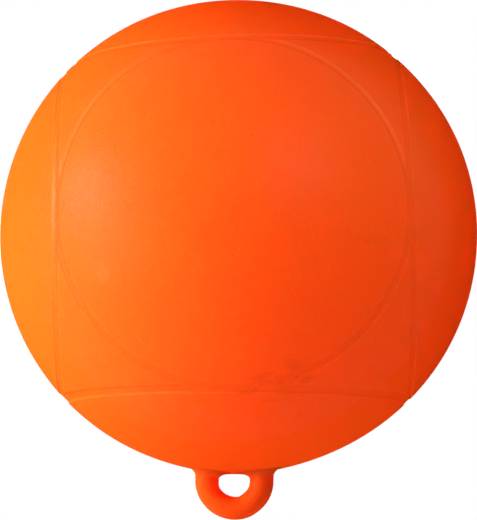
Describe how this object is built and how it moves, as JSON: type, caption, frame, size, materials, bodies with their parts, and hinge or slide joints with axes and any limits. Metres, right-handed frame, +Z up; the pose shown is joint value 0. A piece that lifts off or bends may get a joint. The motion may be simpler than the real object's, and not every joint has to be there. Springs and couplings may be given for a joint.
{
  "type": "inflatable water ski course buoy",
  "caption": "Round inflatable vinyl buoy with shallow ring channels round it, a moulded loop below for an anchor line and a needle valve low on the back.",
  "frame": {"origin": "centre of the ball, which is also the water line of a buoy that its anchor line holds half under", "axes": "+Z up through the ball, away from the loop; +Y towards the back, along the hole of the loop; the valve is low on the +Y side"},
  "size_m": [0.2286, 0.2286, 0.2494],
  "materials": {
    "vinyl": "satin moulded vinyl, one orange all through",
    "valve_plastic": "smooth moulded orange",
    "valve_rubber": "matte black"
  },
  "bodies": {
    "root": {"shell": "vinyl", "eye": "vinyl", "valve_seat": "valve_plastic", "valve_core": "valve_rubber"}
  },
  "joints": []
}
